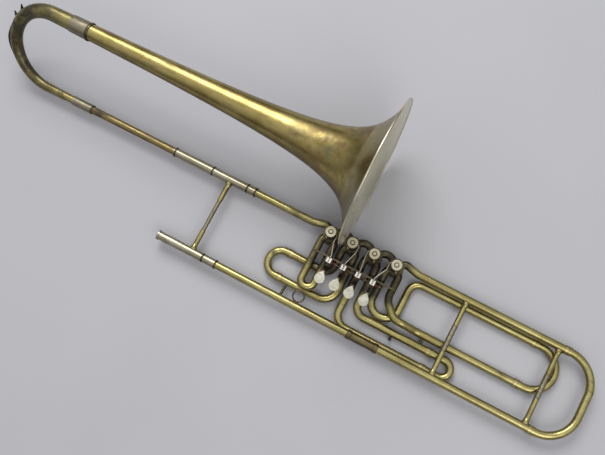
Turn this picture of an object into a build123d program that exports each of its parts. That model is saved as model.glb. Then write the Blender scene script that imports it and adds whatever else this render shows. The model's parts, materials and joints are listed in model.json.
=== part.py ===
"""Valve trombone with four rotary valves, lying on a table on its bell rim and valve caps.

Millimetres. X runs along the tubes from the bell bow to the tuning slide, Y towards the bell
side, Z up from the table. The model is built with X = 0 on the first valve and Y = 0 on the main
tube, and is moved at the end so that the origin is the middle of its footprint on the table.
"""

from build123d import *
import os
from math import asin, cos, degrees, pi, radians, sin, sqrt

# ---------------------------------------------------------------- driving dimensions
# Tubing
tube_d = 13.0  # outer diameter of the playing tubes
tube_wall = 0.6
run_gap = 0.05  # radial clearance of sliding tubes, rotors and pivots
seat_gap = 0.02  # solder film between a tube and what is brazed around it
main_z = 21.2  # height of the main tubes above the table
low_z = 7.7  # height of the valve loops that pass under the main tubes
slide_spacing = 135.0  # main tube to mouthpipe
bell_spacing = 138.0  # main tube to bell axis

# Bell: r(d) = rim radius * (throat / (d + throat)) ** flare, d measured back from the rim
bell_rim_d = 244.0
bell_rim_x = 25.5
bell_length = 507.0
bell_throat = 18.0
bell_flare = 0.645
bell_wall = 0.6
rim_bead_d = 3.6
garland_width = 27.0
garland_wall = 0.4

# Bell bow and its branch
bow_reach = 67.5  # straight of the bow between bell tail and bend
branch_ring_x = -460.5
branch_ferrule_len = 37.0
bell_ferrule_len = 33.0
ferrule_wall = 0.9
guard_width = 3.0
guard_rise = 6.0
bow_guard_edge = 0.6
guard_span = 76.0  # degrees of the bend that the guard covers

# Joint in the main tube between bell section and valve section
sleeve_x0 = -297.5
sleeve_x1 = -140.0
sleeve_wall = 0.9
joint_x = -223.0
second_ring_x = -158.0
ring_width = 3.0
ring_rise = 0.9

# Mouthpipe
receiver_x = -252.6
receiver_len = 46.0
receiver_d = 15.6
receiver_bore_d = 11.2
receiver_bore_len = 22.0
receiver_step = 3.0
butt_gap = 0.3  # between tubes that meet end to end inside a sleeve
leadpipe_sleeve_x1 = -143.0
leadpipe_wall = 0.6
leadpipe_ring_x = -168.2
coupling_x0 = 93.5
coupling_x1 = 148.0
coupling_d = 15.8
coupling_collar = 7.0

# Main tuning slide at the right end
slide_joint_x = 408.0
slide_bend_r = 50.0
slide_leg_len = 90.0
inner_wall = 0.5
ferrule_len = 5.0
slide_gap = 0.4  # between a slide's ferrule and the fixed one when it is home

# Braces between main tube and mouthpipe: x, rod diameter, rod length
braces = [(-189.5, 5.2, 52.0), (239.0, 7.2, 44.0), (396.5, 7.2, 40.0)]
socket_d = 8.6
socket_flange_d = 11.6
socket_flange_t = 1.6
brace_tenon = 6.0
saddle_share = 0.3  # how much of a tube's radius a flange is cut to sit down on

# Valves
valve_count = 4
valve_pitch = 38.5
valve_setback = 6.5  # valve axes lie this far below the main tube line
rotor_d = 24.0
rotor_height = 22.0
casing_wall = 1.0
casing_top_t = 4.0
bearing_t = 3.2
bottom_cap_d = 28.0
bottom_cap_height = 8.0
cap_floor_t = 1.4
spindle_d = 6.4
spindle_top_d = 3.6
passage_width = 8.9  # the rotor passages are oval, narrowest where they pass each other
knuckle_rise = 6.0  # how far the outer knuckles climb out of a casing
knuckle_run = 36.0
knuckle_bend_r = 8.5
neck_r = 5.4
leg_offset = 11.0  # loop legs stand this far to each side of a valve axis

# Stop arm, cap and corks above each valve
neck_height = 3.0
stop_arm_t = 3.0
stop_hub_d = 15.0
stop_finger_r = 11.6
stop_finger_w = 3.2
cork_d = 3.4
cork_r = 9.6
cap_d = 18.4
cap_z = 48.0
cap_t = 6.0
cap_sleeve_wall = 0.5
cap_boss_d = 5.4
cap_boss_t = 2.2
valve_turn = 90.0  # degrees

# Levers
lever_pitch = 25.6
lever_mid_x = 55.8
hinge_y = -47.5
hinge_z = 31.5
hinge_rod_d = 3.0
boss_w = 8.0
boss_r = 3.3
lever_turn = 24.0  # degrees
link_z = 45.6
link_d = 2.0
link_play = 0.95  # radial play where the link wire drops into the stop arm
link_eye_d = 4.6
link_eye_w = 2.0
link_pin_d = 1.6
link_swing = 11.0  # the wire runs up beside the valve axis, this far out
link_straight = 9.0
link_reach = 12.0
link_bulge = 0.66  # the wire end lies this share of the pin's swing outside its rest place
head_w = 8.0
head_t = 5.2
touch_y = -77.5
touch_z = 47.6
touch_w = 16.4
touch_len = 20.5
touch_t = 1.8
touch_dome_r = 90.0
arm_w = 4.4
arm_t = 2.4
spring_wire_d = 0.8
spring_turns = 4
spring_mean_d = 5.2
spring_pitch = 1.35
spring_offset = 1.0
spring_leg = 4.5
bracket_t = 2.6
bracket_bar = 3.0
bracket_reach = 2.2
bar_overhang = 4.0

# Valve loops
semitone_y = -88.0  # bend centre of the first valve's loop
tone_upper_y = -62.0
tone_lower_y = -105.0
tone_slide_x = -46.5
tone_bow_x = -53.0
third_y = -100.5
third_return_y = -128.5
third_slide_x = 222.0
third_bow_x = 250.0
fourth_y = -81.0
fourth_return_y = -11.0
fourth_slide_x = 362.5
fourth_bow_x = 374.0
fourth_hook_y = -66.0
fourth_near_x = 149.0  # where the near leg has swung over to its own line
fourth_drop_x0 = 163.0  # and where it comes down to the lower level
fourth_drop_x1 = 190.0
fourth_hook_width = 46.0
fourth_hook_depth = 20.0
tone_leg_len = 34.0
third_leg_len = 54.0
fourth_leg_len = 68.0
loop_drop_start = 20.0  # the loop legs leave the main level this far below the valve axes
loop_drop_run = 12.0
loop_bend_r = 20.0

# Small fittings
finger_ring_d = 18.8
finger_ring_wire = 2.6
finger_ring_x = -0.8
strut_x = -28.5
strut_d = 4.6
loop_brace_x = 203.0
knob_x = 158.0
knob_d = 5.0
knob_len = 6.5

# ---------------------------------------------------------------- values that follow
tube_r = tube_d / 2
bore_r = tube_r - tube_wall
inner_r = bore_r - run_gap
main_y = 0.0
mouthpipe_y = main_y - slide_spacing
bell_r = bell_rim_d / 2
bell_z = bell_r
bell_y = main_y + sqrt(bell_spacing**2 - (bell_z - main_z) ** 2)
bell_tail_x = bell_rim_x - bell_length
bow_bend_x = bell_tail_x - bow_reach
bow_bend_r = bell_spacing / 2
valve_y = main_y - valve_setback
rotor_r = rotor_d / 2
casing_bore_r = rotor_r + run_gap
casing_r = rotor_r + casing_wall
rotor_z0 = main_z - rotor_height / 2
rotor_z1 = main_z + rotor_height / 2
end_gap = 0.15  # axial play of the rotors
casing_z1 = rotor_z1 + end_gap + casing_top_t
bearing_z0 = rotor_z0 - end_gap - bearing_t
neck_z = casing_z1 + neck_height
stop_z0 = neck_z + 0.3
stop_z1 = stop_z0 + stop_arm_t
cap_top_z = cap_z + cap_t
port = rotor_r * cos(pi / 4)
link_travel = 2 * (link_z - hinge_z) * sin(radians(lever_turn) / 2)
arm_r = link_travel / (2 * sin(radians(valve_turn) / 2))
valve_xs = [i * valve_pitch for i in range(valve_count)]
lever_xs = [lever_mid_x + (i - (valve_count - 1) / 2) * lever_pitch for i in range(valve_count)]
# the stop arms of the outer pairs face the middle of the group: +1 arm on the +X side
arm_sides = [1, 1, -1, -1]

parts = {}


# ---------------------------------------------------------------- helpers
def group(shapes):
    """One node made of several separate solids."""
    return Compound([solid for shape in shapes for solid in shape.solids()])


def tube_along(path, outer_r=tube_r, wall=tube_wall):
    """Hollow tube swept along a smooth path of lines and arcs."""
    start = Plane(origin=path @ 0, z_dir=path % 0)
    section = start * (Circle(outer_r) - Circle(outer_r - wall))
    return sweep(section, path=path)


def rod_between(a, b, radius):
    """Solid round rod from point a to point b."""
    a, b = Vector(*a), Vector(*b)
    return Plane(origin=a, z_dir=b - a) * Cylinder(
        radius, (b - a).length, align=(Align.CENTER, Align.CENTER, Align.MIN)
    )


def straight_tube(x0, x1, y, z, outer_r=tube_r, inner=bore_r):
    """Straight tube along X with its own outer and inner radius."""
    outer = rod_between((x0, y, z), (x1, y, z), outer_r)
    return outer - rod_between((x0 - 1, y, z), (x1 + 1, y, z), inner)


def turned(points, y, z):
    """Solid of revolution about the X-parallel line through y, z from (x, r) points."""
    wire = Polyline(*[(x, r) for x, r in points], close=True)
    profile = make_face(wire)
    return Pos(0, y, z) * revolve(profile, Axis.X)


def ring_on_tube(x, y, z, width=ring_width, rise=ring_rise, around=tube_r):
    """Half-round collar brazed around a tube, centred on x."""
    inner = around + seat_gap
    x0, x1 = x - width / 2, x + width / 2
    crown = inner + rise
    edge = inner + rise * 0.55
    outline = Polyline((x1, edge), (x1, inner), (x0, inner), (x0, edge))
    top = ThreePointArc((x0, edge), (x, crown), (x1, edge))
    return Pos(0, y, z) * revolve(make_face(Wire([*outline.edges(), top.edge()])), Axis.X)


def upright(x, y, z0, z1, radius):
    """Solid cylinder standing on z0."""
    base = Pos(x, y, z0)
    return base * Cylinder(radius, z1 - z0, align=(Align.CENTER, Align.CENTER, Align.MIN))


def route(points, radii):
    """Path of straight runs joined by tangent arcs."""
    return FilletPolyline(*points, radius=radii)


# ---------------------------------------------------------------- bell
def bell_radius(d):
    """Outer radius of the bell at distance d behind the rim."""
    return bell_r * (bell_throat / (d + bell_throat)) ** bell_flare


def bell_slope(d):
    """Change of radius per millimetre along the axis, as a positive number."""
    return bell_flare * bell_radius(d) / (d + bell_throat)


def bell_curve(d0, d1, offset, count):
    """Points of the bell wall between two distances, moved out along its normal by offset."""
    points = []
    for i in range(count):
        d = (d0 + bell_throat) * ((d1 + bell_throat) / (d0 + bell_throat)) ** (i / (count - 1))
        d -= bell_throat
        lean = bell_slope(d)
        norm = sqrt(1 + lean * lean)
        points.append((bell_rim_x - d - offset * lean / norm, bell_radius(d) + offset / norm))
    return points


def bell_shell(d0, d1, inner, outer, count):
    """Shell of revolution between two offsets of the bell curve."""
    inside = bell_curve(d0, d1, inner, count)
    outside = bell_curve(d0, d1, outer, count)
    edges = [
        Spline(*outside),
        Line(outside[-1], inside[-1]),
        Spline(*inside),
        Line(inside[0], outside[0]),
    ]
    profile = make_face(Wire([e.edge() for e in edges]))
    return Pos(0, bell_y, bell_z) * revolve(profile, Axis.X)


bead_r = rim_bead_d / 2
bell_edge_r = bell_r - rim_bead_d
bell_edge_d = bell_throat * ((bell_r / bell_edge_r) ** (1 / bell_flare) - 1)
parts["bell"] = bell_shell(bell_edge_d, bell_length, -bell_wall, 0, 14)
parts["bell_garland"] = bell_shell(
    bell_edge_d + 0.6, bell_edge_d + garland_width, seat_gap, garland_wall, 6
)
bead_x = bell_rim_x - bell_edge_d
bead_circle = Pos(bead_x, bell_r - bead_r) * Circle(bead_r)
parts["bell_rim"] = Pos(0, bell_y, bell_z) * revolve(bead_circle, Axis.X)

# ---------------------------------------------------------------- bell bow
# The bow lies in the tilted plane through the main tube and the bell axis.
bow_plane = Plane(
    origin=(bow_bend_x, (main_y + bell_y) / 2, (main_z + bell_z) / 2),
    x_dir=(1, 0, 0),
    z_dir=Vector(1, 0, 0).cross(Vector(0, bell_y - main_y, bell_z - main_z)),
)
bow_big_r = bell_radius(bell_length)
bow_leg_x = branch_ring_x - branch_ferrule_len / 2
upper_leg = bell_tail_x - bow_bend_x
lower_leg = bow_leg_x - bow_bend_x
bow_path_len = upper_leg + pi * bow_bend_r + lower_leg


def bow_radius(s):
    """The bow tapers evenly from the bell tail to the main tube."""
    return bow_big_r + (tube_r - bow_big_r) * s / bow_path_len


def bow_station(s):
    """Plane across the bow at distance s along its centre line from the bell tail."""
    if s <= upper_leg:
        local, heading = (upper_leg - s, bow_bend_r), (-1, 0)
    elif s <= upper_leg + pi * bow_bend_r:
        turn = pi / 2 + (s - upper_leg) / bow_bend_r
        local = (bow_bend_r * cos(turn), bow_bend_r * sin(turn))
        heading = (-sin(turn), cos(turn))
    else:
        local, heading = (s - upper_leg - pi * bow_bend_r, -bow_bend_r), (1, 0)
    origin = bow_plane.from_local_coords((*local, 0))
    ahead = bow_plane.from_local_coords((local[0] + heading[0], local[1] + heading[1], 0))
    return Plane(origin=origin, x_dir=bow_plane.z_dir, z_dir=ahead - origin)


def tapered_bow(inset):
    """Solid that follows the bow, smaller than its outside by inset."""
    bend_steps = 8
    bend_end = upper_leg + pi * bow_bend_r
    stops = [upper_leg + pi * bow_bend_r * i / bend_steps for i in range(bend_steps + 1)]
    bend = loft([bow_station(s) * Circle(bow_radius(s) - inset) for s in stops])
    upper = loft([bow_station(s) * Circle(bow_radius(s) - inset) for s in (0, upper_leg)])
    lower = loft([bow_station(s) * Circle(bow_radius(s) - inset) for s in (bend_end, bow_path_len)])
    return bend + upper + lower


bow_outside = tapered_bow(0)
parts["bell_bow"] = bow_outside - tapered_bow(tube_wall)


def guard_point(turn_deg, rise):
    """Point in the bow's plane outside the bend, rise above the tube wall."""
    turn = radians(turn_deg)
    s = upper_leg + (turn - pi / 2) * bow_bend_r
    reach = bow_bend_r + bow_radius(s) + rise
    return (reach * cos(turn), reach * sin(turn))


def bow_guard():
    """Leaf shaped crest on the outside of the bend, ending in two pointed curls."""
    mid = 180.0
    a0, a1 = mid - guard_span / 2, mid + guard_span / 2
    root = -bow_radius(upper_leg) / 3
    edge = bow_guard_edge
    inner = ThreePointArc(guard_point(a1, root), guard_point(mid, root), guard_point(a0, root))
    crest = Spline(
        guard_point(a0, edge),
        guard_point(a0 + guard_span * 0.42, guard_rise * 0.45),
        guard_point(mid + guard_span * 0.1, guard_rise),
        guard_point(a1 - guard_span * 0.16, guard_rise * 0.5),
        guard_point(a1, edge),
    )
    tip0 = Line(guard_point(a0, root), guard_point(a0, edge))
    tip1 = Line(guard_point(a1, edge), guard_point(a1, root))
    leaf = make_face(Wire([e.edge() for e in (crest, tip1, inner, tip0)]))
    horns = []
    for turn_deg, lean in ((a0 + 1, -6), (a0 + 14, -5)):
        foot0 = guard_point(turn_deg - 3.4, root)
        foot1 = guard_point(turn_deg + 3.4, root)
        tip = guard_point(turn_deg + lean, guard_rise * 1.05)
        horns.append(make_face(Polyline(foot0, tip, foot1, close=True)))
    outline = leaf + horns[0] + horns[1]
    plate = bow_plane * extrude(outline, amount=guard_width / 2, both=True)
    return plate - bow_outside


parts["bow_guard"] = bow_guard()


def bow_ferrule(s0, s1):
    """Sleeve around the tapered bow between two stations, with a ring at its free end."""
    outer = loft([bow_station(s) * Circle(bow_radius(s) + ferrule_wall) for s in (s0, s1)])
    return outer - loft([bow_station(s) * Circle(bow_radius(s) + seat_gap) for s in (s0, s1)])


bell_ring_width = ring_width * 1.6
parts["bell_ferrule"] = bow_ferrule(bell_ring_width / 2 + 0.1, bell_ferrule_len)
bell_ring = ring_on_tube(
    bell_tail_x, bell_y, bell_z, bell_ring_width, ring_rise * 1.6, bow_big_r + 0.3
)
branch_ferrule_x0 = branch_ring_x - branch_ferrule_len
branch_taper = bow_radius(bow_path_len - branch_ferrule_len / 2) - tube_r
parts["branch_ferrule"] = straight_tube(
    branch_ferrule_x0,
    branch_ring_x,
    main_y,
    main_z,
    tube_r + branch_taper + ferrule_wall,
    tube_r + branch_taper + seat_gap,
)
branch_ring = ring_on_tube(
    branch_ring_x + ring_width / 2, main_y, main_z, ring_width, ring_rise * 1.6
)

# ---------------------------------------------------------------- main tube, bell side
parts["bell_branch"] = straight_tube(bow_leg_x, joint_x, main_y, main_z)
parts["joint_sleeve"] = straight_tube(
    sleeve_x0, sleeve_x1, main_y, main_z, tube_r + sleeve_wall, tube_r + seat_gap
)
sleeve_rings = [
    ring_on_tube(x, main_y, main_z, around=tube_r + sleeve_wall)
    for x in (sleeve_x0 + ring_width, joint_x, second_ring_x, sleeve_x1 - ring_width)
]


# ---------------------------------------------------------------- valves
def port_point(x, angle_deg, reach=rotor_r):
    """Point on the main tube level at an angle around a valve axis."""
    turn = radians(angle_deg)
    return (x + reach * cos(turn), valve_y + reach * sin(turn), main_z)


def end_knuckle(x, side, far_x):
    """Tube from a valve's outer main port, arched over and down on to the main tube line."""
    angle = 45 if side > 0 else 135
    start = port_point(x, angle)
    crown = port_point(x, angle, rotor_r + knuckle_rise)
    landing = (x + side * knuckle_run, main_y, main_z)
    path = route([start, crown, landing, (far_x, main_y, main_z)], [knuckle_bend_r, 40.0])
    return tube_along(path)


def casing_space(x):
    """Room that a valve casing takes out of a tube brazed to it."""
    return upright(x, valve_y, 0, casing_z1, casing_r + seat_gap)


first_x, last_x = valve_xs[0], valve_xs[-1]
parts["valve_branch"] = end_knuckle(first_x, -1, joint_x + 0.4) - casing_space(first_x)
parts["upper_slide_tube"] = end_knuckle(last_x, 1, slide_joint_x) - casing_space(last_x)

knuckle_r = valve_pitch / 2 / cos(pi / 4) - rotor_r
knuckles = []
for x in valve_xs[:-1]:
    a, b = port_point(x, 45), port_point(x + valve_pitch, 135)
    crown_y = valve_y + valve_pitch / 2 - knuckle_r * (sqrt(2) - 1)
    arch = ThreePointArc(a, (x + valve_pitch / 2, crown_y, main_z), b)
    knuckles.append(tube_along(arch) - casing_space(x) - casing_space(x + valve_pitch))
parts["valve_knuckles"] = group(knuckles)


def casing(x):
    """Valve casing: cup with a bearing neck on top and four ports."""
    body = upright(x, valve_y, bearing_z0, casing_z1, casing_r)
    body += upright(x, valve_y, casing_z1, neck_z, neck_r)
    body -= upright(x, valve_y, bearing_z0 - 1, rotor_z1 + end_gap, casing_bore_r)
    body -= upright(x, valve_y, bearing_z0, neck_z + 1, spindle_d / 2 + run_gap)
    for angle in (45, 135, 225, 315):
        body -= rod_between(port_point(x, angle, 4.0), port_point(x, angle, casing_r + 3), bore_r)
    return body


def bearing_plate(x):
    """Loose plate that closes the casing and carries the rotor's lower pivot."""
    plate = upright(x, valve_y, bearing_z0, bearing_z0 + bearing_t, casing_bore_r - run_gap)
    return plate - upright(x, valve_y, bearing_z0 - 1, rotor_z0, spindle_d / 2 + run_gap)


def bottom_cap(x):
    """Screw cap over the lower bearing, standing on the table."""
    cap = upright(x, valve_y, 0, bottom_cap_height, bottom_cap_d / 2)
    cap -= upright(x, valve_y, cap_floor_t, bottom_cap_height + 1, casing_r + run_gap)
    bottom_edge = cap.edges().filter_by(GeomType.CIRCLE).sort_by(Axis.Z)[0]
    return chamfer(bottom_edge, 0.8)


def rotor(x):
    """Rotor with two oval quarter-turn passages and a spindle through both bearings."""
    body = upright(x, valve_y, rotor_z0, rotor_z1, rotor_r)
    corner = rotor_r * sqrt(2)
    for side in (1, -1):
        centre = Pos(x, valve_y + side * corner, main_z)
        oval = Plane.XZ * Pos(rotor_r, 0) * Ellipse(passage_width / 2, bore_r)
        bend = centre * Rot(0, 0, -side * 90 - 50) * revolve(oval, Axis.Z, 100)
        body -= bend
    body += upright(x, valve_y, bearing_z0 + 0.5, rotor_z0, spindle_d / 2)
    body += upright(x, valve_y, rotor_z1, stop_z0, spindle_d / 2)
    body += upright(x, valve_y, stop_z0, cap_top_z - 1.5, spindle_top_d / 2)
    return body


def pin_angle(side):
    """Direction of the stop arm's link hole at rest."""
    return 45 if side > 0 else 135


def stop_arm(x, side):
    """Hub clamped on the spindle with a hole for the link and a finger between the corks."""
    hub = upright(x, valve_y, stop_z0, stop_z1, stop_hub_d / 2)
    finger = Pos(x, valve_y, stop_z0) * Rot(0, 0, pin_angle(side) + 180) * Box(
        stop_finger_r, stop_finger_w, stop_arm_t, align=(Align.MIN, Align.CENTER, Align.MIN)
    )
    arm = hub + finger
    arm -= upright(x, valve_y, stop_z0 - 1, stop_z1 + 1, spindle_top_d / 2 + seat_gap)
    turn = radians(pin_angle(side))
    hole_x = x + arm_r * cos(turn)
    hole_y = valve_y + arm_r * sin(turn)
    return arm - upright(hole_x, hole_y, stop_z0 - 1, stop_z1 + 1, link_d / 2 + link_play)


def corks(x, side):
    """Two cork bumpers that stop the finger a quarter turn apart."""
    half = degrees(asin((stop_finger_w + cork_d) / 2 / cork_r)) + 1.0
    rest = pin_angle(side) + 180
    pressed = rest - side * valve_turn
    pair = []
    for angle in (rest + side * half, pressed - side * half):
        turn = radians(angle)
        cx, cy = x + cork_r * cos(turn), valve_y + cork_r * sin(turn)
        pair.append(upright(cx, cy, casing_z1, stop_z1 - 0.4, cork_d / 2))
    return pair


def spindle_cap(x):
    """Round cap on top of the spindle with a raised boss in a groove."""
    cap = upright(x, valve_y, cap_z, cap_top_z, cap_d / 2)
    top_edge = cap.edges().filter_by(GeomType.CIRCLE).sort_by(Axis.Z)[-1]
    cap = chamfer(top_edge, 0.9)
    cap -= upright(x, valve_y, cap_top_z - 1.0, cap_top_z + 1, cap_boss_d / 2 + 1.1)
    cap += upright(x, valve_y, cap_top_z - 1.2, cap_top_z - 1.0 + cap_boss_t, cap_boss_d / 2)
    cap += upright(x, valve_y, stop_z1 + 0.1, cap_z, spindle_top_d / 2 + cap_sleeve_wall)
    cap -= upright(x, valve_y, stop_z1 - 1, cap_top_z - 1.5, spindle_top_d / 2 + seat_gap)
    return cap


cork_list = []
for i, x in enumerate(valve_xs):
    label = f"{i + 1}"
    side = arm_sides[i]
    parts["rotor_" + label] = group([rotor(x), stop_arm(x, side)])
    parts["spindle_cap_" + label] = spindle_cap(x)
    cork_list += corks(x, side)
parts["valve_casings"] = group([casing(x) for x in valve_xs])
parts["bearing_plates"] = group([bearing_plate(x) for x in valve_xs])
parts["bottom_caps"] = group([bottom_cap(x) for x in valve_xs])
parts["cork_stops"] = group(cork_list)


# ---------------------------------------------------------------- levers and links
def lever(x):
    """Hinge boss with an upright for the link and an arm for the touchpiece."""
    boss = Pos(x, hinge_y, hinge_z) * Rot(0, 90, 0) * Cylinder(boss_r, boss_w)
    boss += Pos(x, hinge_y, hinge_z) * Box(
        boss_w, boss_r * 2, boss_r + 0.6, align=(Align.CENTER, Align.CENTER, Align.MIN)
    )
    post = Pos(x, hinge_y, hinge_z) * Box(
        head_w * 0.6, head_w * 0.5, link_z - hinge_z, align=(Align.CENTER, Align.CENTER, Align.MIN)
    )
    head = Pos(x, hinge_y, link_z) * Box(head_w, head_w, head_t)
    body = boss + post + head
    run = route(
        [
            (x, hinge_y - boss_r + 1.0, hinge_z + boss_r - arm_t / 2),
            (x, hinge_y - boss_r - 5.0, hinge_z + boss_r - arm_t / 2),
            (x, touch_y + touch_len / 2 - 4.0, touch_z - arm_t / 2),
            (x, touch_y - 3.0, touch_z - arm_t / 2),
        ],
        [6.0, 6.0],
    )
    start = Plane(origin=run @ 0, x_dir=(1, 0, 0), z_dir=run % 0)
    body += sweep(start * Rectangle(arm_w, arm_t), path=run)
    slot_w = link_eye_w + 0.6
    slot = Pos(x, hinge_y - link_eye_d / 2 - 0.5, link_z) * Box(
        slot_w, head_w, head_t + 8, align=(Align.CENTER, Align.MIN, Align.CENTER)
    )
    body -= slot
    body += Pos(x, hinge_y, link_z) * Rot(0, 90, 0) * Cylinder(link_pin_d / 2, head_w - 1)
    body -= Pos(x, hinge_y, hinge_z) * Rot(0, 90, 0) * Cylinder(hinge_rod_d / 2 + run_gap, boss_w + 2)
    return body


def touchpiece(x):
    """Leaf shaped finger plate, pointed towards the hinge and crowned on top."""
    half = touch_w / 2
    tip = (0, touch_len / 2)
    shoulder = touch_len * -0.08
    low = -touch_len / 2
    outline = [
        ThreePointArc(tip, (-half * 0.72, touch_len * 0.2), (-half, shoulder)),
        TangentArc((-half, shoulder), (0, low), tangent=(0, -1)),
        TangentArc((0, low), (half, shoulder), tangent=(1, 0)),
        ThreePointArc((half, shoulder), (half * 0.72, touch_len * 0.2), tip),
    ]
    face = make_face(Wire([e.edge() for e in outline]))
    plate = extrude(face, amount=touch_t)
    dome = Pos(0, 0, touch_t - touch_dome_r) * Sphere(touch_dome_r)
    return Pos(x, touch_y, touch_z) * (plate & dome)


def s_link(x, valve_x, side):
    """Bent wire from the lever's fork to the stop arm, its end turned down into the arm."""
    turn = radians(pin_angle(side))
    bulge = arm_r * (1 - cos(radians(valve_turn) / 2)) * link_bulge
    end_x = valve_x + arm_r * cos(turn) + side * bulge
    end_y = valve_y + arm_r * sin(turn)
    swing_x = valve_x + side * link_swing
    start = (x, hinge_y + link_eye_d / 2 - 0.6, link_z)
    points = [
        start,
        (x, hinge_y + link_straight, link_z),
        (swing_x, valve_y - link_reach, link_z),
        (swing_x, valve_y + 1.0, link_z),
        (end_x, end_y, link_z),
        (end_x, end_y, stop_z0 + 0.4),
    ]
    path = route(points, [5.0, 5.0, 3.6, link_d / 2 + 0.4])
    wire = sweep(Plane(origin=path @ 0, z_dir=path % 0) * Circle(link_d / 2), path=path)
    eye = Pos(x, hinge_y, link_z) * Rot(0, 90, 0) * Cylinder(link_eye_d / 2, link_eye_w)
    link = wire + eye
    return link - Pos(x, hinge_y, link_z) * Rot(0, 90, 0) * Cylinder(link_pin_d / 2 + run_gap, 6)


def spring_point(x0, turns):
    """Point and direction on the spring's helix, counted in turns from its start."""
    angle = 2 * pi * turns
    r = spring_mean_d / 2
    point = Vector(x0 + turns * spring_pitch, hinge_y - r * sin(angle), hinge_z + r * cos(angle))
    direction = Vector(spring_pitch / (2 * pi), -r * cos(angle), -r * sin(angle)).normalized()
    return point, direction


def biarc(p0, t0, p1, t1):
    """Two arcs that join smoothly between two points with given directions."""
    span = p1 - p0
    a = 2 * (1 - t0.dot(t1))
    b = 2 * span.dot(t0 + t1)
    reach = (sqrt(b * b + 4 * a * span.dot(span)) - b) / (2 * a)
    q0 = p0 + t0 * reach
    q1 = p1 - t1 * reach
    middle = (q0 + q1) * 0.5
    return [TangentArc(p0, middle, tangent=t0), TangentArc(middle, p1, tangent=q1 - q0)]


def spring_line(x0):
    """Centre line of a spring: leg, turns as half-turn biarcs, leg."""
    stops = [spring_point(x0, i / 2) for i in range(2 * spring_turns + 1)]
    edges = []
    for (p0, t0), (p1, t1) in zip(stops, stops[1:]):
        edges += biarc(p0, t0, p1, t1)
    first, first_way = stops[0]
    last, last_way = stops[-1]
    edges.insert(0, Line(first - first_way * spring_leg, first))
    edges.append(Line(last, last + last_way * spring_leg))
    return Wire([e.edge() for e in edges])


def spring_gap(line):
    """Least gap between the wire and itself, from points along its centre line."""
    count = spring_turns * 48
    points = [line @ (i / count) for i in range(count + 1)]
    skip = count // (2 * spring_turns)
    gaps = [
        (points[j] - points[i]).length
        for i in range(count + 1)
        for j in range(i + skip, count + 1)
    ]
    return min(gaps) - spring_wire_d


def return_spring(x):
    """Torsion spring around the hinge rod beside a lever, with a leg at each end."""
    path = spring_line(x + boss_w / 2 + spring_offset)
    start = Plane(origin=path @ 0, z_dir=path % 0)
    return sweep(start * Circle(spring_wire_d / 2), path=path)


for i, x in enumerate(lever_xs):
    label = f"{i + 1}"
    parts["lever_" + label] = lever(x)
    parts["touchpiece_" + label] = touchpiece(x)
    parts["s_link_" + label] = s_link(x, valve_xs[i], arm_sides[i])

parts["return_springs"] = group([return_spring(x) for x in lever_xs])

# Hinge rod, its brackets and the bar that is soldered across the valve legs
rod_x0 = lever_xs[0] - boss_w / 2 - 2 * bracket_t
rod_x1 = lever_xs[-1] + lever_pitch / 2 + bracket_t
parts["hinge_rod"] = rod_between((rod_x0, hinge_y, hinge_z), (rod_x1, hinge_y, hinge_z), hinge_rod_d / 2)
bar_z = main_z + tube_r + seat_gap
bar_y = hinge_y + boss_r + bracket_reach
bar_x0 = first_x - leg_offset - bar_overhang
bar_x1 = last_x + leg_offset + bar_overhang
saddle = Pos(bar_x0, bar_y, bar_z) * Box(
    bar_x1 - bar_x0, bracket_bar, bracket_bar, align=(Align.MIN, Align.MIN, Align.MIN)
)
bracket_xs = [lever_xs[0] - boss_w / 2 - bracket_t] + [x + lever_pitch / 2 for x in lever_xs]
for x in bracket_xs:
    bracket_size = (bracket_t, bracket_bar + bracket_reach + boss_r, bracket_bar)
    saddle += Pos(x, bar_y + bracket_bar, bar_z) * Box(
        *bracket_size, align=(Align.CENTER, Align.MAX, Align.MIN)
    )
    saddle += rod_between(
        (x - bracket_t / 2, hinge_y, hinge_z), (x + bracket_t / 2, hinge_y, hinge_z), boss_r
    )
hinge_bore_r = hinge_rod_d / 2 + seat_gap
saddle -= rod_between((rod_x0 - 5, hinge_y, hinge_z), (rod_x1 + 5, hinge_y, hinge_z), hinge_bore_r)
parts["lever_saddle"] = saddle


# ---------------------------------------------------------------- valve loops
leg_bend_r = (leg_offset - port) / (1 - cos(pi / 4))


def leg_start(x, side):
    """First two points of a loop leg: out of the casing and round to run along -Y."""
    angle = 315 if side > 0 else 225
    corner_y = valve_y - port - (leg_offset - port)
    return [port_point(x, angle), (x + side * leg_offset, corner_y, main_z)]


def loop_tube(x, side, points, radii):
    """Fixed tube from a valve's loop port through the given corners."""
    path = route(leg_start(x, side) + points, [leg_bend_r - 0.2] + radii)
    return tube_along(path) - casing_space(x)


# first valve: one short fixed loop
x1 = valve_xs[0]
semitone_end = semitone_y - leg_offset
parts["semitone_loop"] = tube_along(
    route(
        leg_start(x1, -1)
        + [(x1 - leg_offset, semitone_end, main_z), (x1 + leg_offset, semitone_end, main_z)]
        + leg_start(x1, 1)[::-1],
        [leg_bend_r - 0.2, leg_offset - 0.1, leg_offset - 0.1, leg_bend_r - 0.2],
    )
) - casing_space(x1)

# second valve: loop with a slide that pulls towards -X
x2 = valve_xs[1]
drop_y0 = valve_y - loop_drop_start
tone_upper = loop_tube(
    x2,
    -1,
    [
        (x2 - leg_offset, drop_y0, main_z),
        (x2 - leg_offset, tone_upper_y, low_z),
        (tone_slide_x, tone_upper_y, low_z),
    ],
    [loop_bend_r, 15.0],
)
tone_lower = loop_tube(
    x2,
    1,
    [
        (x2 + leg_offset, drop_y0, main_z),
        (x2 + leg_offset, tone_upper_y, low_z),
        (x2 + leg_offset, tone_lower_y, low_z),
        (tone_slide_x, tone_lower_y, low_z),
    ],
    [loop_bend_r, loop_bend_r, 24.0],
)

parts["tone_loop_legs"] = group([tone_upper, tone_lower])

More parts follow.
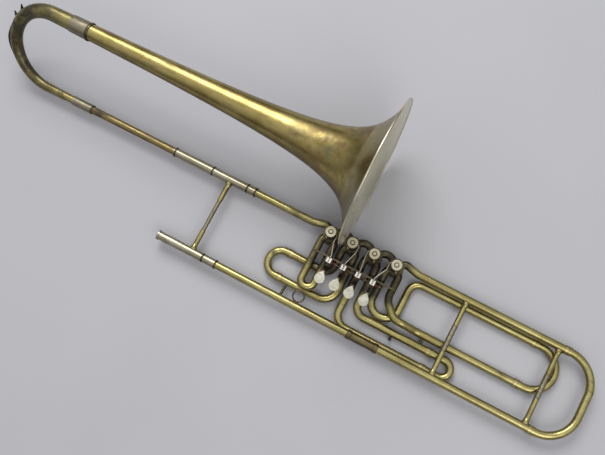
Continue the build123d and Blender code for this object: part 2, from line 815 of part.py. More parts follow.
# third valve: one leg returns under the mouthpipe
x3 = valve_xs[2]
third_near = loop_tube(
    x3,
    1,
    [
        (x3 + leg_offset, drop_y0, main_z),
        (x3 + leg_offset, tone_upper_y, low_z),
        (x3 + leg_offset, third_y, low_z),
        (third_slide_x, third_y, low_z),
    ],
    [loop_bend_r, loop_bend_r, 18.0],
)
third_far = loop_tube(
    x3,
    -1,
    [
        (x3 - leg_offset, drop_y0, main_z),
        (x3 - leg_offset, tone_upper_y, low_z),
        (x3 - leg_offset, third_return_y, low_z),
        (third_slide_x, third_return_y, low_z),
    ],
    [loop_bend_r, loop_bend_r, 22.0],
)

parts["third_loop_legs"] = group([third_near, third_far])

# fourth valve: long loop, one leg hooks back and runs under the main tube
x4 = valve_xs[3]
hook_x = x4 - leg_offset + fourth_hook_width
hook_low = fourth_hook_y - fourth_hook_depth
fourth_hook = loop_tube(
    x4,
    -1,
    [
        (x4 - leg_offset, drop_y0, main_z),
        (x4 - leg_offset, tone_upper_y, low_z),
        (x4 - leg_offset, hook_low, low_z),
        (hook_x, hook_low, low_z),
        (hook_x, fourth_return_y, low_z),
        (fourth_slide_x, fourth_return_y, low_z),
    ],
    [loop_bend_r, 16.0, 22.0, 22.0, 18.0],
)
fourth_near = loop_tube(
    x4,
    1,
    [
        (x4 + leg_offset, fourth_hook_y + 8.0, main_z),
        (fourth_near_x, fourth_y, main_z),
        (fourth_drop_x0, fourth_y, main_z),
        (fourth_drop_x1, fourth_y, low_z),
        (fourth_slide_x, fourth_y, low_z),
    ],
    [24.0, loop_bend_r, 18.0, 30.0],
)
parts["fourth_loop_legs"] = group([fourth_hook, fourth_near])


# ---------------------------------------------------------------- slides
def slide_bow(name, joint_at, bend_at, y0, y1, z, bend_r, out, leg_len):
    """Bow with ferrules and the two inner legs that slide in the fixed tubes.

    out is +1 where the slide pulls towards +X and -1 towards -X.
    """
    start_x = joint_at + out * slide_gap
    end_x = bend_at + out * bend_r
    corners = [(start_x, y0, z), (end_x, y0, z), (end_x, y1, z), (start_x, y1, z)]
    limit = abs(y1 - y0) / 2 - 0.1
    bend = min(bend_r - 0.1, limit)
    bow = tube_along(route(corners, [bend, bend]))
    legs = []
    for y in (y0, y1):
        a, b = sorted((start_x, start_x + out * ferrule_len))
        bow += straight_tube(a, b, y, z, tube_r + ring_rise, bore_r)
        a, b = sorted((start_x + out * ferrule_len, joint_at - out * leg_len))
        legs.append(straight_tube(a, b, y, z, inner_r, inner_r - inner_wall))
    parts[name] = group([bow, *legs])


slide_bow(
    "tuning_slide",
    slide_joint_x,
    slide_joint_x + ferrule_len + 0.5,
    main_y,
    mouthpipe_y,
    main_z,
    slide_bend_r,
    1,
    slide_leg_len,
)
slide_bow(
    "tone_slide",
    tone_slide_x,
    tone_bow_x,
    tone_upper_y,
    tone_lower_y,
    low_z,
    (tone_upper_y - tone_lower_y) / 2,
    -1,
    tone_leg_len,
)
slide_bow(
    "third_slide",
    third_slide_x,
    third_bow_x,
    third_y,
    third_return_y,
    low_z,
    (third_y - third_return_y) / 2,
    1,
    third_leg_len,
)
slide_bow(
    "fourth_slide",
    fourth_slide_x,
    fourth_bow_x,
    fourth_return_y,
    fourth_y,
    low_z,
    (fourth_return_y - fourth_y) / 2,
    1,
    fourth_leg_len,
)

ferrule_seats = [
    (slide_joint_x, main_y, main_z, 1),
    (slide_joint_x, mouthpipe_y, main_z, 1),
    (tone_slide_x, tone_upper_y, low_z, -1),
    (tone_slide_x, tone_lower_y, low_z, -1),
    (third_slide_x, third_y, low_z, 1),
    (third_slide_x, third_return_y, low_z, 1),
    (fourth_slide_x, fourth_return_y, low_z, 1),
    (fourth_slide_x, fourth_y, low_z, 1),
]
ferrules = []
for x, y, z, out in ferrule_seats:
    a, b = sorted((x, x - out * ferrule_len))
    ferrules.append(straight_tube(a, b, y, z, tube_r + ring_rise, tube_r + seat_gap))
parts["slide_ferrules"] = group(ferrules)

# ---------------------------------------------------------------- mouthpipe
pipe_x0 = receiver_x + receiver_bore_len + receiver_step
pipe_joint_x = (coupling_x0 + coupling_x1) / 2
parts["mouthpipe"] = straight_tube(pipe_x0, pipe_joint_x - butt_gap, mouthpipe_y, main_z)
parts["lower_slide_tube"] = straight_tube(pipe_joint_x + butt_gap, slide_joint_x, mouthpipe_y, main_z)
receiver_r = receiver_d / 2
parts["mouthpiece_receiver"] = turned(
    [
        (receiver_x, receiver_bore_d / 2),
        (receiver_x, receiver_r - 0.4),
        (receiver_x + 0.6, receiver_r + 0.5),
        (receiver_x + 3.4, receiver_r + 0.5),
        (receiver_x + 4.2, receiver_r - 0.4),
        (receiver_x + receiver_len - 4, tube_r + 0.9),
        (receiver_x + receiver_len, tube_r + 0.5),
        (receiver_x + receiver_len, tube_r + seat_gap),
        (pipe_x0 - butt_gap, tube_r + seat_gap),
        (pipe_x0 - butt_gap, bore_r),
        (receiver_x + receiver_bore_len, receiver_bore_d / 2),
    ],
    mouthpipe_y,
    main_z,
)
leadpipe_sleeve_x0 = receiver_x + receiver_len + 0.4
parts["leadpipe_sleeve"] = straight_tube(
    leadpipe_sleeve_x0, leadpipe_sleeve_x1, mouthpipe_y, main_z, tube_r + leadpipe_wall, tube_r + seat_gap
)
sleeve_ring_xs = (leadpipe_ring_x, leadpipe_sleeve_x1 - ring_width / 2)
pipe_rings = [ring_on_tube(x, mouthpipe_y, main_z, around=tube_r + leadpipe_wall) for x in sleeve_ring_xs]
parts["collar_rings"] = group([bell_ring, branch_ring, *sleeve_rings, *pipe_rings])
coupling_r = coupling_d / 2
parts["mouthpipe_coupling"] = turned(
    [
        (coupling_x0, tube_r + seat_gap),
        (coupling_x0, coupling_r - 0.5),
        (coupling_x0 + 1, coupling_r),
        (coupling_x0 + coupling_collar, coupling_r),
        (coupling_x0 + coupling_collar + 1, tube_r + leadpipe_wall),
        (coupling_x1 - coupling_collar - 1, tube_r + leadpipe_wall),
        (coupling_x1 - coupling_collar, coupling_r),
        (coupling_x1 - 1, coupling_r),
        (coupling_x1, coupling_r - 0.5),
        (coupling_x1, tube_r + seat_gap),
    ],
    mouthpipe_y,
    main_z,
)


# ---------------------------------------------------------------- braces
def brace_socket(x, y_seat, inward, seat_r, length):
    """Turned socket whose flange is saddled on a tube; inward is the Y direction of the rod."""
    flange = socket_flange_d / 2
    radius = socket_d / 2
    sunk = seat_r * saddle_share
    shoulder = socket_flange_t + sunk
    profile = Polyline(
        (0, 0),
        (flange, 0),
        (flange, shoulder),
        (radius + 0.6, shoulder + 2.0),
        (radius, shoulder + 5.0),
        (radius, sunk + length - 1.0),
        (radius - 0.5, sunk + length),
        (0, sunk + length),
        close=True,
    )
    body = revolve(Plane.XZ * make_face(profile), Axis.Z)
    place = Pos(x, y_seat + inward * (seat_r - sunk), main_z) * Rot(-inward * 90, 0, 0)
    seat = rod_between((x - tube_d, y_seat, main_z), (x + tube_d, y_seat, main_z), seat_r + seat_gap)
    return place * body - seat


socket_list = []
rod_list = []
for x, rod_d, rod_len in braces:
    upper_seat = tube_r + (sleeve_wall if sleeve_x0 < x < sleeve_x1 else 0)
    lower_seat = tube_r + (leadpipe_wall if x < leadpipe_sleeve_x1 else 0)
    span = slide_spacing - upper_seat - lower_seat
    socket_len = (span - rod_len) / 2
    rod_top = main_y - upper_seat - socket_len
    rod_low = mouthpipe_y + lower_seat + socket_len
    rod_ends = ((x, rod_low - brace_tenon, main_z), (x, rod_top + brace_tenon, main_z))
    rod_list.append(rod_between(*rod_ends, rod_d / 2))
    for y_seat, inward, seat_r in ((main_y, -1, upper_seat), (mouthpipe_y, 1, lower_seat)):
        socket = brace_socket(x, y_seat, inward, seat_r, socket_len)
        bore_end = y_seat + inward * (seat_r + socket_len + 1)
        bore_start = y_seat + inward * (seat_r + socket_len - brace_tenon - 0.3)
        socket -= rod_between((x, bore_start, main_z), (x, bore_end, main_z), rod_d / 2 + seat_gap)
        socket_list.append(socket)
parts["brace_sockets"] = group(socket_list)
parts["brace_rods"] = group(rod_list)


# ---------------------------------------------------------------- small fittings
def tube_space(x, y, z):
    """Room taken near x by a straight tube along X."""
    return rod_between((x - tube_d, y, z), (x + tube_d, y, z), tube_r + seat_gap)


ring_r = finger_ring_d / 2
ring_y = mouthpipe_y + tube_r + ring_r + finger_ring_wire / 2 - 0.5
ring = Pos(finger_ring_x, ring_y, main_z) * Torus(ring_r, finger_ring_wire / 2)
parts["finger_ring"] = ring - tube_space(finger_ring_x, mouthpipe_y, main_z)

strut = rod_between((strut_x, tone_lower_y, low_z), (strut_x, mouthpipe_y, main_z), strut_d / 2)
strut -= tube_space(strut_x, tone_lower_y, low_z)
strut -= tube_space(strut_x, mouthpipe_y, main_z)

link_bar = rod_between(
    (loop_brace_x, fourth_y, low_z), (loop_brace_x, third_y, low_z), strut_d / 2
)
link_bar -= tube_space(loop_brace_x, fourth_y, low_z)
link_bar -= tube_space(loop_brace_x, third_y, low_z)
parts["loop_braces"] = group([strut, link_bar])

knob = turned(
    [(0, 0), (0, knob_d / 2 - 0.8), (1.6, knob_d / 2 - 0.8), (2.6, knob_d / 2),
     (knob_len - 0.8, knob_d / 2), (knob_len, knob_d / 2 - 0.8), (knob_len, 0)],
    0,
    0,
)
knob = Pos(knob_x, third_y - tube_r - seat_gap, low_z) * Rot(0, 0, -90) * knob
parts["pull_knob"] = knob

# ---------------------------------------------------------------- place on the table and write
boxes = [shape.bounding_box() for shape in parts.values()]
low_x, high_x = min(b.min.X for b in boxes), max(b.max.X for b in boxes)
low_y, high_y = min(b.min.Y for b in boxes), max(b.max.Y for b in boxes)
shift = Pos(-(low_x + high_x) / 2, -(low_y + high_y) / 2, 0)

if __name__ == "__main__":
    os.makedirs("parts", exist_ok=True)
    for name, shape in parts.items():
        export_step(shift * shape, f"parts/{name}.step")
    print("nodes", len(parts), "length", high_x - low_x, "width", high_y - low_y)
    print("moved by", shift.position)
    print("least gap of a spring to itself", spring_gap(spring_line(0)))
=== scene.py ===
"""Looks, light and camera for the rotary valve trombone."""

import json
import math

import bpy
from mathutils import Matrix, Vector


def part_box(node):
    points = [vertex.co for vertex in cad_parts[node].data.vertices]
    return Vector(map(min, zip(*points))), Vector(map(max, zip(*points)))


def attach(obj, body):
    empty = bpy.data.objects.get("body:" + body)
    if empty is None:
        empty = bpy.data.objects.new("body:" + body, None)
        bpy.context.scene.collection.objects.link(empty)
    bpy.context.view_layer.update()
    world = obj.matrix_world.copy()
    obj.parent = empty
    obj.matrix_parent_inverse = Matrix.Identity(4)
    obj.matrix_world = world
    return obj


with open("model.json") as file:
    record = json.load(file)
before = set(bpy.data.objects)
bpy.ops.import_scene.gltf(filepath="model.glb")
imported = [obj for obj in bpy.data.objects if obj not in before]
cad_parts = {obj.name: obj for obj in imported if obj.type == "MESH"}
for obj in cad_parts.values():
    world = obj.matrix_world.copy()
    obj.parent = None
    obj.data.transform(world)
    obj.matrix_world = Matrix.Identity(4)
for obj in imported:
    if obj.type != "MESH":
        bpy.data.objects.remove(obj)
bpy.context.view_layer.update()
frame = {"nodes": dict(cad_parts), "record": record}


def middle(node):
    """Centre of a CAD node's box."""
    low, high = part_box(node)
    return (low + high) / 2


# Places that the looks depend on, read from the frame
valve_axis = middle("spindle_cap_1")
bell_low, bell_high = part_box("bell")
bell_axis_y = (bell_low.y + bell_high.y) / 2
bell_axis_z = (bell_low.z + bell_high.z) / 2
rim_x = bell_high.x
rim_r = (bell_high.z - bell_low.z) / 2
bow_low, bow_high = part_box("bell_bow")
valve_pitch = middle("spindle_cap_2").x - valve_axis.x
last_valve_x = middle("spindle_cap_4").x
head_low_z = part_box("s_link_1")[1].z - 0.0055  # underside of the lever heads


# ------------------------------------------------------------------ node helpers
class Shader:
    """A node material, built one node at a time."""

    def __init__(self, name):
        self.material = bpy.data.materials.new(name)
        self.material.use_nodes = True
        self.tree = self.material.node_tree
        self.surface = self.tree.nodes["Principled BSDF"]
        spot = self.add("ShaderNodeTexCoord")
        self.place = spot.outputs["Object"]
        self.facing = self.add("ShaderNodeSeparateXYZ", Vector=spot.outputs["Normal"]).outputs

    def add(self, kind, **inputs):
        """Adds a node. Each input is a value, or a socket to link."""
        made = self.tree.nodes.new(kind)
        for key, value in inputs.items():
            socket = made.inputs[key.replace("_", " ")]
            self.put(socket, value)
        return made

    def put(self, socket, value):
        """Sets a socket to a value, or links another socket to it."""
        if isinstance(value, bpy.types.NodeSocket):
            self.tree.links.new(value, socket)
        else:
            socket.default_value = value

    def math(self, operation, a, b=0.0, clamp=False):
        made = self.tree.nodes.new("ShaderNodeMath")
        made.operation = operation
        made.use_clamp = clamp
        self.put(made.inputs[0], a)
        self.put(made.inputs[1], b)
        return made.outputs[0]

    def stretched(self, x, y, z):
        """The surface place, scaled differently along each axis."""
        made = self.add("ShaderNodeMapping", Vector=self.place)
        made.inputs["Scale"].default_value = (x, y, z)
        return made.outputs[0]

    def noise(self, scale, detail=4.0, rough=0.55, at=None):
        at = at or self.place
        made = self.add("ShaderNodeTexNoise", Vector=at, Scale=scale, Detail=detail, Roughness=rough)
        return made.outputs["Fac"]

    def window(self, value, low, high):
        """0 below low, 1 above high, smooth between them."""
        made = self.tree.nodes.new("ShaderNodeMapRange")
        made.interpolation_type = "SMOOTHSTEP"
        self.put(made.inputs["Value"], value)
        self.put(made.inputs["From Min"], low)
        self.put(made.inputs["From Max"], high)
        return made.outputs["Result"]

    def between(self, value, low, high):
        """low to high as value goes from 0 to 1."""
        made = self.tree.nodes.new("ShaderNodeMapRange")
        self.put(made.inputs["Value"], value)
        self.put(made.inputs["To Min"], low)
        self.put(made.inputs["To Max"], high)
        return made.outputs["Result"]

    def blend(self, factor, a, b):
        """Colour a where factor is 0 and colour b where it is 1."""
        made = self.tree.nodes.new("ShaderNodeMix")
        made.data_type = "RGBA"
        self.put(made.inputs["Factor"], factor)
        for socket, colour in ((made.inputs[6], a), (made.inputs[7], b)):
            self.put(socket, colour if isinstance(colour, bpy.types.NodeSocket) else (*colour, 1.0))
        return made.outputs[2]

    def axis(self, letter):
        """One coordinate of the surface place."""
        return self.add("ShaderNodeSeparateXYZ", Vector=self.place).outputs[letter]

    def inside(self, letter, low, high, soft):
        """1 between two places along an axis, 0 outside them, soft at both."""
        at = self.axis(letter)
        rise = self.window(at, low - soft, low + soft)
        return self.math("SUBTRACT", rise, self.window(at, high - soft, high + soft), True)

    def bump(self, height, distance, strength=0.3):
        made = self.add("ShaderNodeBump", Height=height, Distance=distance, Strength=strength)
        self.put(self.surface.inputs["Normal"], made.outputs["Normal"])

    def finish(self, colour, roughness, metallic):
        self.put(self.surface.inputs["Base Color"], colour)
        self.put(self.surface.inputs["Roughness"], roughness)
        self.put(self.surface.inputs["Metallic"], metallic)
        return self.material


# ------------------------------------------------------------------ materials
def worn_metal(
    name, bright, dull, stain_and_shade, staining=0.5, smooth=0.24, along=(9.0, 60.0, 60.0), side_shade=0.6
):
    """Old metal: cloudy tone, lengthwise streaks, dark stains and pits.

    staining from 0 to 1 says how much of the surface the stains cover, and the last argument how dark
    the painted shade is on the steep sides and undersides, put there in place of their dark reflections.
    """
    s = Shader(name)
    cloud = s.noise(16.0, 5.0, 0.6)
    streak = s.noise(1.0, 6.0, 0.65, s.stretched(*along))
    fine = s.noise(420.0, 3.0, 0.6)
    tone = s.math("ADD", s.math("MULTIPLY", cloud, 0.6), s.math("MULTIPLY", streak, 0.4))
    colour = s.blend(s.window(tone, 0.38, 0.64), dull, bright)
    edge = 0.72 - 0.3 * staining
    spots = s.window(s.math("ADD", s.math("MULTIPLY", streak, 0.55), s.math("MULTIPLY", cloud, 0.45)), edge - 0.05, edge + 0.09)
    pits = s.window(s.noise(230.0, 2.0, 0.5), 0.66, 0.74)
    dirt = s.math("MAXIMUM", spots, s.math("MULTIPLY", pits, 0.3))
    colour = s.blend(dirt, colour, stain_and_shade)
    # Painted shade: steep sides and undersides turn towards the stain colour, in place of the dark reflections they
    # show.
    steep_shade = s.math("SUBTRACT", 1.0, s.window(s.facing["Z"], 0.1, 0.85))
    colour = s.blend(s.math("MULTIPLY", steep_shade, side_shade), colour, stain_and_shade)
    roughness = s.math("ADD", s.between(fine, smooth, smooth + 0.12), s.math("MULTIPLY", dirt, 0.2))
    metallic = s.between(dirt, 1.0, 0.55)
    s.bump(s.math("ADD", fine, s.math("MULTIPLY", pits, -0.6)), 0.00004, 0.15)
    return s, colour, roughness, metallic, dirt


def aged_brass():
    """Tubes: olive brass, nearly black around the valves, from patina and from painted shade under the levers."""
    s, colour, roughness, metallic, _ = worn_metal(
        "aged_brass", (0.54, 0.475, 0.20), (0.32, 0.27, 0.10), (0.075, 0.056, 0.026), 0.46, 0.22
    )
    # Around the valves the tubes darken in patches: partly patina, partly painted shade where the levers and hinge
    # rods shade them.
    along = s.inside("X", valve_axis.x - 0.016, last_valve_x + 0.024, 0.012)
    across = s.inside("Y", valve_axis.y - 0.062, valve_axis.y + 0.024, 0.009)
    patchy = s.window(s.noise(38.0, 5.0, 0.65), 0.25, 0.55)
    dark = s.math("MULTIPLY", s.math("MULTIPLY", along, across), s.between(patchy, 0.68, 0.96))
    colour = s.blend(dark, colour, (0.042, 0.033, 0.02))
    metallic = s.math("SUBTRACT", metallic, s.math("MULTIPLY", dark, 0.25), True)
    return s.finish(colour, roughness, metallic)


def plain_metal(*tones):
    """Worn metal with nothing more to it."""
    s, colour, roughness, metallic, _ = worn_metal(*tones)
    return s.finish(colour, roughness, metallic)


def valve_cap(node):
    """Cap of aged nickel with painted shade in the groove round its boss, and a darker ring at its outer edge."""
    s, colour, roughness, metallic, _ = worn_metal(
        "cap_" + node, (0.66, 0.62, 0.46), (0.44, 0.39, 0.26), (0.12, 0.095, 0.06), 0.42, 0.26
    )
    centre = middle(node)
    across = s.math("POWER", s.math("SUBTRACT", s.axis("X"), centre.x), 2.0)
    up = s.math("POWER", s.math("SUBTRACT", s.axis("Y"), centre.y), 2.0)
    radius = s.math("SQRT", s.math("ADD", across, up))
    # Painted shade: the groove round the boss is darkened. The outer edge also gets a darker ring.
    groove = s.math("SUBTRACT", s.window(radius, 0.0025, 0.0028), s.window(radius, 0.0040, 0.0043), True)
    edge = s.window(radius, 0.0082, 0.0092)
    dark = s.math("MAXIMUM", groove, s.math("MULTIPLY", edge, 0.7))
    colour = s.blend(dark, colour, (0.035, 0.028, 0.018))
    metallic = s.math("SUBTRACT", metallic, s.math("MULTIPLY", dark, 0.4), True)
    return s.finish(colour, roughness, metallic)


def lever_metal():
    """Levers: dark arms, and square heads polished by years of use."""
    s, colour, roughness, metallic, _ = worn_metal(
        "lever_metal", (0.14, 0.115, 0.07), (0.07, 0.055, 0.034), (0.025, 0.02, 0.014), 0.5, 0.28
    )
    head = s.window(s.axis("Z"), head_low_z, head_low_z + 0.0008)
    colour = s.blend(head, colour, (0.90, 0.88, 0.80))
    roughness = s.math("SUBTRACT", roughness, s.math("MULTIPLY", head, 0.1), True)
    return s.finish(colour, roughness, metallic)


def bell_brass():
    """Bell: brown and green patina on the flare, and a pale painted reflection inside its mouth."""
    s, colour, roughness, metallic, dirt = worn_metal(
        "bell_brass", (0.56, 0.46, 0.175), (0.31, 0.24, 0.08), (0.075, 0.048, 0.02), 0.46, 0.22, (7.0, 34.0, 34.0), 0.8
    )
    depth = s.math("SUBTRACT", rim_x, s.axis("X"))
    flare = s.math("SUBTRACT", 1.0, s.window(depth, 0.06, 0.20))
    patch = s.window(s.noise(26.0, 6.0, 0.7), 0.44, 0.6)
    green = s.window(s.noise(41.0, 5.0, 0.7), 0.45, 0.62)
    patina = s.blend(green, (0.17, 0.095, 0.04), (0.15, 0.145, 0.08))
    cover = s.math("MULTIPLY", s.math("MULTIPLY", flare, patch), 0.85)
    colour = s.blend(cover, colour, patina)
    roughness = s.math("ADD", roughness, s.math("MULTIPLY", cover, 0.18))
    metallic = s.math("SUBTRACT", metallic, s.math("MULTIPLY", cover, 0.35), True)
    # Painted reflection: the inside of the flare, facing out of the mouth, is turned pale in place of its grazing
    # reflection.
    inside_reflection = s.window(s.facing["X"], 0.02, 0.12)
    colour = s.blend(inside_reflection, colour, (0.70, 0.67, 0.52))
    return s.finish(colour, roughness, metallic)


def bow_brass():
    """Bell bow: nearly black at its far end, olive brass towards its legs."""
    s, colour, roughness, metallic, dirt = worn_metal(
        "bow_brass", (0.46, 0.40, 0.17), (0.25, 0.205, 0.08), (0.06, 0.046, 0.024), 0.5, 0.25, (30.0, 30.0, 30.0)
    )
    reach = s.math("SUBTRACT", s.axis("X"), bow_low.x)
    far = s.math("SUBTRACT", 1.0, s.window(reach, 0.03, 0.13))
    mottled = s.math("MULTIPLY", far, s.window(s.noise(34.0, 5.0, 0.65), 0.3, 0.58))
    colour = s.blend(s.math("MULTIPLY", mottled, 0.9), colour, (0.045, 0.038, 0.025))
    metallic = s.math("SUBTRACT", metallic, s.math("MULTIPLY", mottled, 0.3), True)
    return s.finish(colour, roughness, metallic)


def pearl_touch():
    """Pearly finger plates with soft cloudy bands."""
    s = Shader("pearl_touch")
    band = s.noise(1.0, 5.0, 0.6, s.stretched(90.0, 210.0, 90.0))
    cloud = s.noise(140.0, 4.0, 0.6)
    colour = s.blend(s.window(band, 0.35, 0.65), (0.50, 0.48, 0.37), (0.70, 0.68, 0.55))
    colour = s.blend(s.math("MULTIPLY", s.window(cloud, 0.55, 0.75), 0.5), colour, (0.34, 0.31, 0.20))
    s.bump(band, 0.00006, 0.2)
    s.surface.inputs["Coat Weight"].default_value = 0.3
    s.surface.inputs["Coat Roughness"].default_value = 0.15
    return s.finish(colour, s.between(cloud, 0.22, 0.4), 0.25)


def cork():
    s = Shader("cork")
    grain = s.noise(900.0, 4.0, 0.7)
    colour = s.blend(s.window(grain, 0.4, 0.62), (0.28, 0.16, 0.07), (0.50, 0.33, 0.17))
    s.bump(grain, 0.0001, 0.5)
    return s.finish(colour, s.between(grain, 0.75, 0.95), 0.0)


fine_grain = (80.0, 80.0, 80.0)
looks = {
    "aged_brass": aged_brass(),
    "bell_brass": bell_brass(),
    "dark_brass": plain_metal(
        "dark_brass", (0.24, 0.19, 0.09), (0.10, 0.075, 0.038), (0.03, 0.024, 0.015), 0.6, 0.3
    ),
    "nickel_silver": plain_metal(
        "nickel_silver", (0.54, 0.50, 0.37), (0.33, 0.295, 0.195), (0.09, 0.07, 0.042), 0.5, 0.26
    ),
    "dark_fitting": plain_metal(
        "dark_fitting", (0.10, 0.09, 0.07), (0.05, 0.043, 0.035), (0.025, 0.022, 0.02), 0.5, 0.36
    ),
    "steel_wire": plain_metal(
        "steel_wire", (0.66, 0.62, 0.50), (0.44, 0.40, 0.29), (0.16, 0.13, 0.085), 0.3, 0.22, fine_grain, 0.5
    ),
    "spring_wire": plain_metal(
        "spring_wire", (0.32, 0.14, 0.09), (0.18, 0.07, 0.05), (0.05, 0.025, 0.02), 0.5, 0.34, fine_grain
    ),
    "pearl_touch": pearl_touch(),
    "cork": cork(),
}
ferrule_brass = plain_metal(
    "ferrule_brass", (0.62, 0.54, 0.25), (0.40, 0.33, 0.14), (0.09, 0.065, 0.03), 0.46, 0.24
)
band_brass = plain_metal(
    "band_brass", (0.58, 0.50, 0.27), (0.36, 0.295, 0.14), (0.11, 0.075, 0.035), 0.46, 0.26
)
grey_band = plain_metal(
    "grey_band", (0.44, 0.395, 0.28), (0.23, 0.195, 0.12), (0.06, 0.046, 0.028), 0.56, 0.3
)
branch_brass = plain_metal(
    "branch_brass", (0.47, 0.37, 0.155), (0.25, 0.185, 0.075), (0.055, 0.042, 0.028), 0.62, 0.26
)
dark_metal = plain_metal(
    "dark_metal", (0.16, 0.13, 0.075), (0.07, 0.055, 0.032), (0.025, 0.02, 0.014), 0.5, 0.28
)
pale_rim = plain_metal(
    "pale_rim", (0.84, 0.80, 0.62), (0.62, 0.57, 0.40), (0.22, 0.17, 0.10), 0.3, 0.24, fine_grain, 0.3
)
own_looks = {
    "bell_bow": bow_brass(),
    "slide_ferrules": ferrule_brass,
    "bell_garland": band_brass,
    "bell_rim": pale_rim,
    "bell_ferrule": grey_band,
    "branch_ferrule": grey_band,
    "bell_branch": branch_brass,
    "collar_rings": dark_metal,
    "lever_saddle": dark_metal,
    "hinge_rod": dark_metal,
    "bottom_caps": dark_metal,
    "finger_ring": dark_metal,
    "brace_rods": grey_band,
}
lever_look = lever_metal()
for number in range(1, 5):
    own_looks[f"lever_{number}"] = lever_look
    own_looks[f"spindle_cap_{number}"] = valve_cap(f"spindle_cap_{number}")
slot_of = {part["node"]: part["material_slot"] for part in frame["record"]["subparts"]}
for node, piece in frame["nodes"].items():
    look = own_looks.get(node, looks[slot_of[node]])
    for place in piece.material_slots:
        place.material = look


# ------------------------------------------------------------------ brace sleeves
def turned(name, centre, letter, outline, bore, look, body, sides=48):
    """Turned sleeve with a bore: outline is (place, radius) pairs along one axis."""
    rows = [(outline[0][0], bore)] + outline + [(outline[-1][0], bore)]
    points = []
    for at, radius in rows:
        for i in range(sides):
            angle = 2 * math.pi * i / sides
            a, b = radius * math.cos(angle), radius * math.sin(angle)
            points.append(centre + (Vector((at, a, b)) if letter == "X" else Vector((a, at, b))))
    faces = []
    for row in range(len(rows)):
        after = (row + 1) % len(rows)
        for i in range(sides):
            j = (i + 1) % sides
            quad = (row * sides + i, after * sides + i, after * sides + j, row * sides + j)
            faces.append(quad if letter == "Y" else quad[::-1])
    mesh = bpy.data.meshes.new(name)
    mesh.from_pydata(points, [], faces)
    mesh.polygons.foreach_set("use_smooth", [True] * len(faces))
    mesh.set_sharp_from_angle(angle=math.radians(35))
    mesh.materials.append(look)
    made = bpy.data.objects.new(name, mesh)
    bpy.context.collection.objects.link(made)
    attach(made, body)


def islands(node):
    """Boxes of a node's separate solids, sorted along X."""
    mesh = frame["nodes"][node].data
    parent = list(range(len(mesh.vertices)))

    def root(i):
        while parent[i] != i:
            parent[i] = parent[parent[i]]
            i = parent[i]
        return i

    first_at = {}
    pairs = [tuple(edge.vertices) for edge in mesh.edges]
    for vertex in mesh.vertices:
        key = tuple(round(c, 6) for c in vertex.co)
        pairs.append((vertex.index, first_at.setdefault(key, vertex.index)))
    for a, b in pairs:
        parent[root(a)] = root(b)
    groups = {}
    for vertex in mesh.vertices:
        groups.setdefault(root(vertex.index), []).append(vertex.co)
    boxes = []
    for cluster in groups.values():
        low = Vector([min(co[k] for co in cluster) for k in range(3)])
        high = Vector([max(co[k] for co in cluster) for k in range(3)])
        boxes.append((low, high))
    return sorted(boxes, key=lambda box: (box[0].x, box[0].y))


tenon = 0.0064  # how far each rod's end is hidden in its socket
sleeve_rise = 0.0009
for number, (low, high) in enumerate(islands("brace_rods")):
    rod_r = (high.x - low.x) / 2
    reach = (high.y - low.y) / 2 - tenon
    wall = rod_r + sleeve_rise
    groove = rod_r + sleeve_rise * 0.3
    outline = [(-reach, wall)]
    for share in (-0.62, -0.2, 0.2, 0.62):
        cut = reach * share
        outline += [(cut - 0.0007, wall), (cut - 0.0005, groove), (cut + 0.0005, groove), (cut + 0.0007, wall)]
    outline.append((reach, wall))
    turned(
        f"brace_sleeve_{number}", (low + high) / 2, "Y", outline, rod_r + 0.00005,
        grey_band, "instrument",
    )

# ------------------------------------------------------------------ floor, light and camera
def plane(name, size, height):
    """Square sheet, level, centred under the object."""
    half = size / 2
    mesh = bpy.data.meshes.new(name)
    corners = [(-half, -half, height), (half, -half, height), (half, half, height), (-half, half, height)]
    mesh.from_pydata(corners, [], [(0, 1, 2, 3)])
    made = bpy.data.objects.new(name, mesh)
    bpy.context.collection.objects.link(made)
    return made


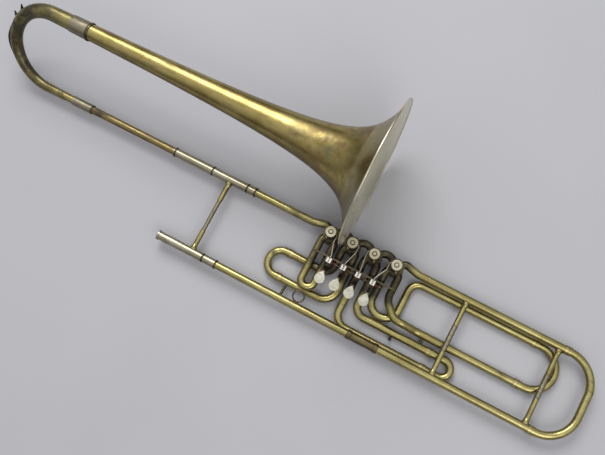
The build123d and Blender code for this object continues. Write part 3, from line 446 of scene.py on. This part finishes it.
def floor_paint():
    s = Shader("floor_paint")
    cloud = s.noise(3.0, 3.0, 0.5)
    colour = s.blend(cloud, (0.455, 0.455, 0.475), (0.51, 0.51, 0.53))
    return s.finish(colour, s.between(cloud, 0.8, 0.9), 0.0)


floor = plane("floor", 12.0, -0.0004)
floor.data.materials.append(floor_paint())


def soft_light(name, place, aim, size, power):
    """Square soft light at a place, turned towards a point."""
    lamp = bpy.data.lights.new(name, "AREA")
    lamp.size = size
    lamp.energy = power
    made = bpy.data.objects.new(name, lamp)
    made.location = place
    made.rotation_euler = (aim - place).to_track_quat("-Z", "Y").to_euler()
    bpy.context.collection.objects.link(made)


centre = Vector((0.0, 0.0, 0.05))
soft_light("window", Vector((-0.9, 1.5, 2.3)), centre, 1.6, 42.0)
soft_light("fill", Vector((1.4, -1.2, 2.4)), centre, 1.4, 14.0)

world = bpy.data.worlds.new("studio")
bpy.context.scene.world = world
world.use_nodes = True
tree = world.node_tree
sky = tree.nodes["Background"]
ray_way = tree.nodes.new("ShaderNodeTexCoord")
split = tree.nodes.new("ShaderNodeSeparateXYZ")
tree.links.new(ray_way.outputs["Generated"], split.inputs[0])
ramp = tree.nodes.new("ShaderNodeValToRGB")
ramp.color_ramp.elements[0].position = 0.05
ramp.color_ramp.elements[0].color = (0.07, 0.07, 0.075, 1.0)
ramp.color_ramp.elements[1].position = 0.95
ramp.color_ramp.elements[1].color = (0.80, 0.80, 0.82, 1.0)
tree.links.new(split.outputs["Z"], ramp.inputs[0])
tree.links.new(ramp.outputs[0], sky.inputs["Color"])

eye_offset = Vector((0.1185, -0.1824, 1.2410))  # from the first valve's axis on the floor
forward = Vector((-0.13345, 0.13866, -0.98131)).normalized()
up = Vector((-0.44980, 0.87384, 0.18465))
right = forward.cross(up).normalized()
up = right.cross(forward)
camera = bpy.data.cameras.new("camera")
camera.sensor_width = 36.0
camera.lens = 45.57
eye = bpy.data.objects.new("camera", camera)
turn = Matrix((right, up, -forward)).transposed().to_4x4()
eye.matrix_world = Matrix.Translation(Vector((valve_axis.x, valve_axis.y, 0.0)) + eye_offset) @ turn
bpy.context.collection.objects.link(eye)
bpy.context.scene.camera = eye
bpy.context.scene.view_settings.view_transform = "Standard"
